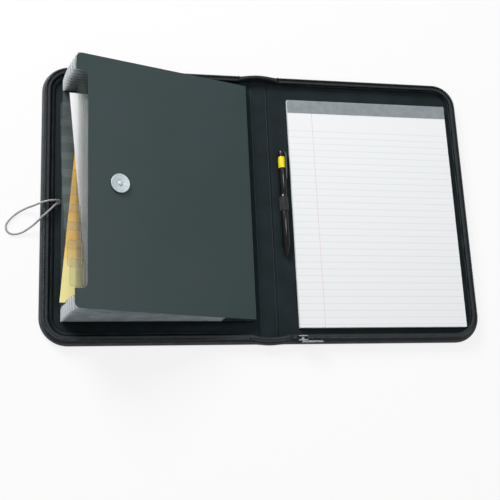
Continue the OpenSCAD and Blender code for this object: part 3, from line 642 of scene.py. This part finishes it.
def gusset_profile(foot):
    """The gusset lining: level under the facing's edge, then a slope that eases out on the floor. Its fall
    is the share of the way, plus a small full sine."""
    thick, ease = 0.7 * MM, 0.06
    top, bottom = GUSSET_Z - 0.3 * MM, FLOOR_Z + 0.4 * MM
    level = stacked(np.linspace(RIDGE - 2 * MM, RIDGE - 0.6 * MM, 4), top)
    share = np.linspace(0, 1, 14)
    fall = share + ease * np.sin(2 * pi * share)
    slope = stacked(RIDGE + (foot - RIDGE) * share, top - (top - bottom) * fall)
    return ribbon(np.vstack([level, slope]), thick)


def facing_profile():
    """The facing strip beside the zip: a band with a low crown, the root of a sine, and a flat back."""
    start, end = TAPE_INSET + TAPE_T / 2 + SEAM, RIDGE + 0.4 * MM
    brim, crown, back = GUSSET_Z - 0.6 * MM, 0.5 * MM, GUSSET_Z - 1.1 * MM
    share = np.linspace(0, 1, 13)
    face = stacked(start + (end - start) * share, brim + crown * np.sin(pi * share) ** 0.5)
    return np.vstack([face, [[end, back], [start, back]]])


def padded_profile(foot):
    """The padded band below the facing: on the lower half of the gusset's slope, with a low round crown."""
    crown, sunk = 0.6 * MM, 0.4 * MM
    share = np.linspace(0.45, 0.97, 13)
    out = unit(np.array([GUSSET_Z - FLOOR_Z, foot - RIDGE]))
    line = stacked(RIDGE + (foot - RIDGE) * share, GUSSET_Z - (GUSSET_Z - FLOOR_Z) * share)
    swell = crown * np.sin(pi * np.linspace(0, 1, 13))[:, None] ** 0.5
    return np.vstack([line + swell * out, (line - sunk * out)[::-1]])


def draw_in(s, profile):
    """How far the slope is drawn in to the ridge near the two folds, by place along the rim and corner of
    the profile: nine tenths of its distance from the ridge at the very end, and none 30 mm along."""
    near = smooth_step(np.clip(1 - np.minimum(s, s[-1] - s) / (30 * MM), 0, 1))
    return -0.9 * near[:, None] * np.maximum(profile[:, 0] - RIDGE, 0)


def stitches(side, stop, inset, height, length, pitch, radius):
    """A row of stitches along the rim: each a short swollen tube, whose radius follows a sine along it."""
    rings, sides = 6, 6
    s = np.arange(pitch, rim_length(stop) - pitch, pitch)
    share = np.linspace(0, 1, rings)
    edge, inward = rim_at(side, (s[:, None] + (share - 0.5) * length).ravel(), stop)
    middle = at_height(edge + inset * inward, height).reshape(len(s), rings, 1, 3)
    out = at_height(inward, 0).reshape(len(s), rings, 1, 3)
    turn = circle(sides)[:, None]
    swell = radius * (0.25 + 0.75 * np.sin(pi * share))[:, None, None]
    grid = middle + swell * (np.cos(turn) * out + np.sin(turn) * UP)
    return grid, copies(grid)


def coil(side):
    """The zip's coil: a monofilament wound round the tape's edge, as a helix of oval turns."""
    pitch, wire, sides, per_turn = 3.2 * MM, 1.3 * MM, 6, 10
    turns = int(rim_length(GUSSET_STOP) / pitch)
    s = np.linspace(0, turns * pitch, turns * per_turn + 1)
    edge, inward = rim_at(side, s, GUSSET_STOP)
    turn = 2 * pi * s[:, None] / pitch
    across, rise = np.cos(turn) * at_height(inward, 0), np.sin(turn) * UP
    path = at_height(edge + TAPE_INSET * inward, (CHAIN_Z + RIM_Z) / 2)
    path = path + across * (COIL_W - wire) / 2 + rise * (RIM_Z - CHAIN_Z - wire) / 2
    uv = tube_uv(lengths(path), np.linspace(0, pi * wire, sides + 1))
    return tube(path, wire / 2, sides, across + rise), uv


def zip_stops(side):
    """Clips pressed round the two ends of the coil: each a short pillow, whose section keeps its width and
    height along most of its length and closes in at both ends by the fourth root of 1 - u^4."""
    length, rings, sides, square = 2.4 * MM, 11, 20, 0.6
    u = np.sin(np.linspace(-0.97, 0.97, rings) * pi / 2)[:, None]
    close = (1 - u**4) ** 0.25
    turn = circle(sides)
    across = np.sign(np.cos(turn)) * np.abs(np.cos(turn)) ** square
    height = np.sign(np.sin(turn)) * np.abs(np.sin(turn)) ** square
    ends = np.array([-1.0, 1.0])[:, None, None]
    x = side * (FOLD_X + GUSSET_STOP - length / 2) + length / 2 * u
    y = ends * (HALF_H - TAPE_INSET) + COIL_W / 2 * close * across
    z = (CHAIN_Z + RIM_Z) / 2 + (RIM_Z - CHAIN_Z) / 2 * close * height
    grid = stacked(x, y, z)
    return grid, copies(grid)


def make_rim(half, side):
    """The rim of one half: each profile carried round its three outer sides, the zip's coil and its stops,
    and stitches. The lining's slope waves a little along the rim."""
    tape, gusset, padded = tape_profile(), gusset_profile(FOOT[half]), padded_profile(FOOT[half])
    outer = rim_at(side, rim_steps(RIM_STOP), RIM_STOP)
    tape_uv = tube_uv(lengths(outer[0]), lengths(np.vstack([tape, tape[:1]])))
    s = rim_steps(GUSSET_STOP)
    inner = rim_at(side, s, GUSSET_STOP)
    slope = np.clip((gusset[:, 0] - RIDGE) / (FOOT[half] - RIDGE), 0, 1)
    wander = np.sin(2 * pi * s / (41 * MM) + np.sin(s / (29 * MM)))
    wave = 0.35 * MM * wander[:, None] * np.sin(pi * slope) + draw_in(s, gusset)
    chain, chain_uv = coil(side)
    upper = stitches(side, GUSSET_STOP, 6.9 * MM, GUSSET_Z + 0.2 * MM, 2.6 * MM, 4 * MM, 0.3 * MM)
    lower = stitches(side, RIM_STOP, 3.75 * MM, ROLL_H + 1.2 * MM, 3 * MM, 4.4 * MM, 0.35 * MM)
    for name, shape, finish, slot, node, uv in (
        ("edge_roll", sweep(*outer, roll_profile()), ROLL, "leatherette", "binding", None),
        ("side_wall", sweep(*outer, wall_profile()), LEATHER, "leatherette", "wall", None),
        ("tape_band", sweep(*outer, tape), TAPE, "zip_tape", "zip_tape", tape_uv),
        ("gusset_lining", sweep(*inner, gusset, wave), GUSSET, "lining", "gusset", None),
        ("zip_facing", sweep(*inner, facing_profile()), FACING, "leatherette", "gusset", None),
        ("padded_band", sweep(*inner, padded, draw_in(s, padded)), FACING, "leatherette", "gusset", None),
        ("zip_coil", chain, COIL, "zip_chain", "zip_chain", chain_uv),
        ("tape_stitches", upper, THREAD, "zip_tape", None, None),
        ("wall_stitches", lower, THREAD, "zip_tape", None, None),
        ("coil_clips", zip_stops(side), ENAMEL, "zip_metal", "zip_stops", None),
    ):
        add_piece(f"{half}_{name}", shape, finish, half, node and f"{half}_{node}", uv)


# Spine and folds
SPINE_SWELL = 1.2 * MM
FOLD_DIP = 1.0 * MM


def end_edges(x0, x1, count):
    """The near and the far edge of the case between two places along x, with their inward normals. They
    swell outwards in the middle of the spine by a squared cosine."""
    x = np.linspace(x0, x1, count)
    y = HALF_H + SPINE_SWELL * np.cos(np.clip(x / (FOLD_X + RIM_STOP), -1, 1) * pi / 2) ** 2
    return [(stacked(x, side * y), stacked(0 * x, -side)) for side in (-1.0, 1.0)]


def soft_wall(edge, inward, top, outer, inner):
    """The soft end wall by the spine: an upright cushion with a round top. Its height and its two sides
    vary along it."""
    low, crown = FLOOR_Z - 0.4 * MM, 2.3 * MM
    turn = np.linspace(pi, 0, 13)
    d = outer[:, None] + (inner - outer)[:, None] / 2 * (1 + np.cos(turn))
    z = top[:, None] - crown + crown * np.sin(turn)
    foot = np.full((len(edge), 2), low)
    return band(edge, inward, np.column_stack([d, inner, outer]), np.column_stack([z, foot]))


def fold_bed(x0, x1):
    """The soft strip under a fold: flat below, and a channel above that dips by a sine between its two
    edges."""
    brim, foot = FLOOR_Z - 0.1 * MM, 0.05 * MM
    share = np.linspace(0, 1, 13)
    channel = stacked(x0 + (x1 - x0) * share, brim - FOLD_DIP * np.sin(pi * share))
    y = np.linspace(ROLL_W - HALF_H, HALF_H - ROLL_W, 40)
    return sweep(stacked(0, y), stacked(1, 0 * y), np.vstack([channel, [[x1, foot], [x0, foot]]]))


def make_spine():
    """The spine's own edge and end walls, and soft pieces over the folds between it and the two halves."""
    high, level, tucked = RIM_Z + 0.6 * MM, RIM_Z - 0.3 * MM, GUSSET_Z - 1.2 * MM
    slim, broad = (3.4 * MM, 8 * MM), (4.4 * MM, RIDGE + 0.6 * MM)
    edges = end_edges(-SPINE_X, SPINE_X, 10)
    roll = joined([sweep(e, n, roll_profile()) for e, n in edges])
    add_piece("spine_edge_roll", roll, ROLL, "spine", "spine_binding")
    wall = joined([soft_wall(e, n, np.full(10, high), *np.outer(slim, np.ones(10))) for e, n in edges])
    wall = add_piece("spine_end_walls", wall, FACING, "spine", "spine_gussets")
    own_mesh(wall)
    for half, side in HALVES:
        rim, spine, lap = side * (FOLD_X + RIM_STOP), side * SPINE_X, side * (FOLD_X + GUSSET_STOP + 1 * MM)
        roll = joined([sweep(e, n, roll_profile()) for e, n in end_edges(rim, spine, 12)])
        piece = add_piece(f"{half}_fold_roll", roll, ROLL)
        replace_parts(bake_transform(piece), f"{half}_fold")
        share = np.linspace(0, 1, 24)
        quick, slow = np.sin(np.minimum(4 * share, 1) * pi / 2) ** 2, np.sin(share * pi / 2) ** 2
        rise = tucked + (level - tucked) * quick + (high - level) * slow
        sides = np.outer(broad, 1 - slow) + np.outer(slim, slow)
        wall = joined([soft_wall(e, n, rise, *sides) for e, n in end_edges(lap, spine, 24)])
        piece = add_piece(f"{half}_fold_walls", wall, FACING)
        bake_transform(piece)
        start, end = side * (HALF_START - 0.05 * MM), side * (SPINE_X + 0.05 * MM)
        piece = add_piece(f"{half}_fold_bed", fold_bed(start, end), LINING)
        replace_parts(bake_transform(piece), f"{half}_fold")
        y = np.linspace(3 * ROLL_W - HALF_H, HALF_H - 3 * ROLL_W, 60)
        seam = tube(stacked(side * (SPINE_X - 0.4 * MM), y, FLOOR_Z), 0.25 * MM, 6, UP)
        add_piece(f"{half}_fold_seam", seam, THREAD, "spine")


# Accordion file: each tab is a step further along, and the upper ones are drawn in a little
TAB_STEP = (FILE_Y1 - FILE_Y0 - TAB_START - TAB_END - TAB_L) / (POCKETS - 2)
TAB_DRAW = 0.35 * MM


def make_leaf(i):
    """A divider leaf: a sheet with a slight wave, whose mouth edge is cut back between the bellows in a smooth
    step, a tab welded under it, the weld's dots, a bead round the tab, and white-grey beads along the bellows that
    are a painted highlight."""
    body, node, up = LEAF_BODY[i], f"divider_{i}", leaf_up(i)
    start, cut, step_l, under, corner = 0.6 * MM, LEAF_L - LEAF_CUT, 5 * MM, -0.24 * MM, 3 * MM
    y = np.linspace(FILE_Y0, FILE_Y1, 151)
    from_end = np.minimum(y - FILE_Y0, FILE_Y1 - y)
    end = cut + (MOUTH_L[i] - cut) * smooth_step(np.clip((NOTCH_END - from_end) / step_l, 0, 1))
    share = np.linspace(0, 1, 24)[:, None]
    sway = 0.05 * MM * share**2 * np.sin(4 * pi * (y - FILE_Y0) / (FILE_Y1 - FILE_Y0) + i)
    sheet = slab(on_leaf(i, start + share * (end - start), y, sway), up, 0.22 * MM)
    add_piece(f"leaf_sheet_{i}", sheet, LEAF, body, node)
    far = FILE_Y1 - TAB_START - TAB_STEP * (i - 1)
    reach = LEAF_L + TAB_W - TAB_DRAW * (i - 1)
    outline = rounded(-reach, TAB_LAP - cut, far - TAB_L, far, corner)
    ring = on_leaf(i, -outline[:, 0], outline[:, 1], under)
    add_piece(f"tab_{i}", plate(ring, up, 0.2 * MM), TAB, body, node)
    edge = tube(np.vstack([ring, ring[:1]]), 0.17 * MM, 6, up)
    add_piece(f"tab_edge_{i}", edge, EDGE, body)
    along = np.linspace(far - TAB_L + corner, far - corner, 15)[:, None, None]
    turn = circle(6)
    wide = np.array([0.5, 0.4, 0.15])[:, None] * MM
    tall = np.array([0, 0.15, 0.22])[:, None] * MM
    dots = on_leaf(i, cut - TAB_LAP / 2 + wide * np.cos(turn), along + wide * np.sin(turn), 0.1 * MM + tall)
    add_piece(f"tab_weld_{i}", (dots, copies(dots)), WELD_AND_HIGHLIGHT, body)
    # Painted highlight: white-grey beads along the leaf's edges by the bellows
    row = np.linspace(PLEAT_START, MOUTH_L[i], 30)
    beads = joined([tube(on_leaf(i, row, side, 0), 0.28 * MM, 6, up) for side in (FILE_Y0, FILE_Y1)])
    add_piece(f"leaf_edge_highlights_{i}", beads, WELD_AND_HIGHLIGHT, body)


def make_pleat(i, edge, inward, name):
    """One pleat of film between two leaves: from the edge of the lower one in to a round valley and out to the
    edge of the upper one. Its depth ripples a little along the fold."""
    gap = 0.2 * MM
    along = np.linspace(0, 1, 40)[:, None]
    share = np.linspace(0, 1, 17)[None, :]
    below = (PANEL_T if i == 1 else LEAF_T) / 2 + gap
    above = (PANEL_T if i == POCKETS else LEAF_T) / 2 + gap
    low = on_leaf(i - 1, PLEAT_START + along * (MOUTH_L[i - 1] - PLEAT_START), edge, below)
    high = on_leaf(i, PLEAT_START + along * (MOUTH_L[i] - PLEAT_START), edge, -above)
    grid = low + share[:, :, None] * (high - low)
    fold = 1 - np.abs(2 * share - 1)
    round_fold = fold * np.sqrt(1 - (1 - fold) ** 2 * 0.999)
    ripple = 1 - 0.04 * (1 + np.sin(along * 8 + i))
    grid[:, :, 1] += inward * (PLEAT_D - 0.4 * MM) * ripple * (0.75 * fold + 0.25 * round_fold)
    # Painted highlights: a white line along each pleat's valley and along its mouth edge, read by the film's
    # finish
    valley = np.exp(-(((share - 0.5) / 0.07) ** 2)) * 0.7
    highlight_mark = np.maximum(valley, np.exp(-(((1 - along) / 0.012) ** 2)))
    body, shape = LEAF_BODY[i - 1], slab(grid, leaf_up(i), 0.12 * MM)
    film = add_piece(f"{name}_{i}", shape, FILM, body, highlight_mark=np.stack([highlight_mark, highlight_mark]))
    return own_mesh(film)


def make_button():
    """The button on the front panel: a turned disc with a rolled edge, a flat face and a groove round its
    middle, and a domed rivet in the groove."""
    stand_on = (box_middle("button_disc"), leaf_up(POCKETS), np.array([0, 1.0, 0]))
    radius, half = 11.5 * MM, 0.6 * MM
    turn = np.linspace(-pi / 2, pi / 2, 9)
    rim = stacked(radius - half + half * np.cos(turn), half * np.sin(turn))
    face = np.array([[10.6, 0.5], [10.1, 0.38], [4.6, 0.42], [4.0, 0.3], [3.5, -0.1], [0, -0.1]]) * MM
    disc = lathe(np.vstack([[[0, -half]], rim, face]), *stand_on)
    add_piece("button_face", disc, ALUMINIUM, "front", "button_disc", sharp=30)
    turn = np.linspace(0, pi / 2, 8)
    dome = stacked(3.1 * MM * np.cos(turn), 0.3 * MM + 1.05 * MM * np.sin(turn))
    shank = np.array([[0, -3], [1.5, -3], [1.5, 0], [3.1, 0]]) * MM
    rivet = lathe(np.vstack([shank, dome]), *stand_on)
    add_piece("button_dome", rivet, ALUMINIUM, "front", "button_rivet", sharp=30)


def make_papers():
    """Papers on their leaves: flat in the pocket, with a mouth edge that slants and lifts a little."""
    slant, lift, gap, end = math.tan(math.radians(5)), 0.05 * MM, 0.05 * MM, 2 * MM
    inner, y0, y1 = PLEAT_START + PLEAT_D, FILE_Y0 + PLEAT_D + end, FILE_Y1 - 2 * PLEAT_D
    y = np.linspace(y0, y1, 40)
    share = np.linspace(0, 1, 30)[:, None]
    n = LEAF_T / 2 + gap + lift * share**3 * (0.6 + 0.4 * np.sin(y / (40 * MM)))
    for name, leaf, edge, finish, slot, node in (
        ("letter_sheet", 6, LEAF_L - slant * (y1 - y), PAPER, "paper", "white_sheet"),
        ("card_folder", 4, LEAF_L + TAB_W - slant * (y - y0), CARD, "folder_card", "yellow_folder"),
    ):
        sheet = slab(on_leaf(leaf, inner + share * (edge - inner), y, n), leaf_up(leaf), 0.1 * MM)
        add_piece(name, sheet, finish, LEAF_BODY[leaf], node)


# Pad and pen


def make_pad():
    """A glued pad: packs of sheets that lie a hair out of line, a top sheet, and a tape over the head."""
    low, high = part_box("pad_sheets")
    packs = 14
    draw = np.random.default_rng(7).uniform(-0.18, 0, (packs, 3)) * MM
    thick = (high.z - low.z) / packs
    shapes = []
    for k in range(packs):
        x_count, y_count = (40, 60) if k == packs - 1 else (4, 4)
        x = np.linspace(low.x - draw[k, 1], high.x + draw[k, 2], x_count)
        y = np.linspace(low.y - draw[k, 0], high.y, y_count)
        grid = stacked(x[:, None], y, low.z + (k + 0.5) * thick)
        shapes.append(slab(grid, UP, thick * 0.96))
    add_piece("pad_block", joined(shapes), RULED, "cover", "pad_sheets")
    low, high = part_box("pad_strip")
    r, t = 0.8 * MM, 0.28 * MM
    turn = np.radians(np.linspace(90, 0, 9))
    bend = stacked(high.y - r + r * np.cos(turn), high.z - r + r * np.sin(turn))
    front = stacked(np.linspace(low.y, high.y - r, 12)[:-1], high.z)
    back = stacked(high.y, np.linspace(high.z - r, low.z, 9)[1:])
    x = np.linspace(low.x, high.x, 30)
    tape = sweep(stacked(x, 0), stacked(0 * x, 1), ribbon(np.vstack([front, bend, back]), t))
    add_piece("pad_head_tape", tape, HEAD_TAPE, "cover", "pad_strip")


def make_pen():
    """A turned barrel with a cap, a clip bent from a strip, a coloured ring, and a knitted loop round it.
    The sizes of barrel, ring and clip are in millimetres."""
    low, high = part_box("pen_barrel")
    axis, top = np.array([0, -1.0, 0]), box_middle("pen_barrel")
    top[1] = high.y
    r, length = (high.x - low.x) / 2 / MM, (high.y - low.y) / MM
    band0, band1 = ((high.y - corner.y) / MM for corner in reversed(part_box("pen_band")))
    profile = np.array([
        [0, 0], [r - 1.6, 0.05], [r - 0.7, 0.4], [r - 0.15, 1.3], [r, 2.4],
        [r, band0 - 0.3], [r - 0.5, band0], [r - 0.5, band1], [r, band1 + 0.3],
        [r, 58], [r - 0.25, 58.4], [r - 0.25, 59.2], [r, 59.6],
        [r, length - 16], [r - 0.4, length - 15.4], [r - 1.9, length - 6],
        [1.5, length - 3], [0.9, length - 2.4], [0.5, length - 0.2], [0, length],
    ])
    barrel = lathe(profile * MM, top, axis, UP)
    add_piece("pen_body", barrel, BLACK, "pen", "pen_barrel", sharp=35)
    profile = np.array([
        [r - 0.45, band0 + 0.1], [r - 0.05, band0 + 0.15], [r, band0 + 0.6], [r, band1 - 0.6],
        [r - 0.05, band1 - 0.15], [r - 0.45, band1 - 0.1], [r - 0.45, band0 + 0.1],
    ])
    ring = lathe(profile * MM, top, axis, UP)
    add_piece("pen_ring", ring, YELLOW, "pen", "pen_band", sharp=35)
    turn = math.radians(35)
    out = np.array([math.cos(turn), 0, math.sin(turn)])
    wide = np.array([-math.sin(turn), 0, math.cos(turn)])
    along = np.array([3, 3.4, 5, 8, 12, 20, 28, 34, 36.5, 38, 39])[:, None, None]
    lift = np.array([0.1, 0.7, 1.2, 1.25, 1.25, 1.25, 1.2, 1.0, 0.8, 0.8, 0.9])[:, None, None]
    breadth = np.array([1.5, 1.8, 1.9, 1.9, 1.9, 1.85, 1.8, 1.7, 1.6, 1.4, 0.8])[:, None, None]
    across = np.linspace(-1, 1, 7)[:, None]
    crown = 0.25 * (1 - across**2)
    grid = top + (along * axis + (r + lift + crown) * out + breadth * across * wide) * MM
    add_piece("pen_spring_clip", slab(grid, out, 0.7 * MM), GREY, "pen", "pen_clip")
    low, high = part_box("pen_loop")
    outer = (high.x - low.x) / 2
    turn = np.radians(np.linspace(-52, 232, 49))[:, None]
    x = (low.x + high.x) / 2 + (outer - 0.3 * MM) * np.cos(turn)
    z = high.z - outer + (outer - 0.3 * MM) * np.sin(turn)
    grid = stacked(x, np.linspace(low.y, high.y, 12), z)
    out = stacked(np.cos(turn), 0, np.sin(turn))
    add_piece("pen_holder", slab(grid, out, 0.55 * MM), KNIT, "cover", "pen_loop")


# Camera: the photograph looks down on the open case from the reader's left
CAMERA_AT = (-0.2500, -0.3608, 1.0703)
CAMERA_RIGHT = (0.9790, -0.0444, 0.1990)
CAMERA_UP = (-0.0113, 0.9626, 0.2706)
CAMERA_LENS = 66.42

# Lamps: name, place, size and power. Each looks at the middle of the case
LAMPS = [
    ("key", (-1.25, 1.85, 1.5), 1.1, 62.0),
    ("top", (0.4, 0.3, 2.2), 0.6, 11.0),
    ("front", (0.1, -1.3, 1.1), 1.0, 1.0),
]


def stand(data, place, right, back):
    """An object of a camera's or a lamp's data, at a place, with its own x axis to the right and its own z
    axis to the back."""
    thing = bpy.data.objects.new(data.name, data)
    turned = np.eye(4)
    turned[:3] = stacked(right, np.cross(back, right), back, place)
    thing.matrix_world = Matrix(turned.tolist())
    scene.collection.objects.link(thing)
    return thing


def make_camera():
    """A camera turned so that its own axes are the given right and up, and their cross product."""
    data = bpy.data.cameras.new("camera")
    data.lens = CAMERA_LENS
    data.sensor_width = 36
    data.clip_end = 20
    right = unit(np.array(CAMERA_RIGHT))
    scene.camera = stand(data, CAMERA_AT, right, unit(np.cross(right, CAMERA_UP)))


def make_floor():
    """A wide pale floor. Four fifths of it is a white glow to sight, to reflection and to refraction."""
    finish, tree, shader = new_material("pale_floor", Roughness=0.9, Base_Color=linear("#F4F4F4"))
    glow = add_node(tree, "Emission", {"Color": (1, 1, 1, 1), "Strength": 1.0}).outputs[0]
    path = add_node(tree, "LightPath").outputs
    share = path["Is Camera Ray"]
    for operation, term in (
        ("MAXIMUM", path["Is Glossy Ray"]),
        ("MAXIMUM", path["Is Transmission Ray"]),
        ("MULTIPLY", 0.8),
    ):
        share = add_node(tree, "Math", {0: share, 1: term}, operation=operation).outputs["Value"]
    mix = add_node(tree, "MixShader", {0: share, 1: shader.outputs[0], 2: glow})
    tree.links.new(mix.outputs[0], tree.nodes["Material Output"].inputs["Surface"])
    reach, z = 4.0, -0.6 * MM
    mesh = bpy.data.meshes.new("floor")
    corners = [(-reach, -reach, z), (reach, -reach, z), (reach, reach, z), (-reach, reach, z)]
    mesh.from_pydata(corners, [], [(0, 1, 2, 3)])
    mesh.materials.append(finish)
    floor = bpy.data.objects.new("floor", mesh)
    scene.collection.objects.link(floor)


def make_light():
    """A white world that is dimmer for the light than for the eye, and three soft lamps."""
    world = bpy.data.worlds.new("studio")
    scene.world = world
    world.use_nodes = True
    tree = world.node_tree
    sky = tree.nodes["Background"].inputs
    sky["Color"].default_value = (1, 1, 1, 1)
    seen = add_node(tree, "LightPath").outputs["Is Camera Ray"]
    strength = add_node(tree, "Math", {0: seen, 1: 0.72, 2: 0.28}, operation="MULTIPLY_ADD")
    tree.links.new(strength.outputs["Value"], sky["Strength"])
    for name, place, size, power in LAMPS:
        data = bpy.data.lights.new(name, "AREA")
        data.shape = "SQUARE"
        data.size = size
        data.energy = power
        back = unit(np.array(place))
        stand(data, place, unit(np.cross(UP, back)), back)
    scene.view_settings.view_transform = "Standard"
    # Sight and light pass two faces of each of the ten clear leaves and their tabs
    scene.cycles.transparent_max_bounces = 64


make_camera()
finish_nodes()
make_elastic_loop()
for half_name, half_side in HALVES:
    make_rim(half_name, half_side)
make_spine()
for leaf_number in range(1, POCKETS):
    make_leaf(leaf_number)
for pocket in range(1, POCKETS + 1):
    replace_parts(make_pleat(pocket, FILE_Y1, -1, "far_pleat"), "bellows_far")
    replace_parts(make_pleat(pocket, FILE_Y0, 1, "near_pleat"), "bellows_near")
make_button()
make_papers()
make_pad()
make_pen()
make_floor()
make_light()
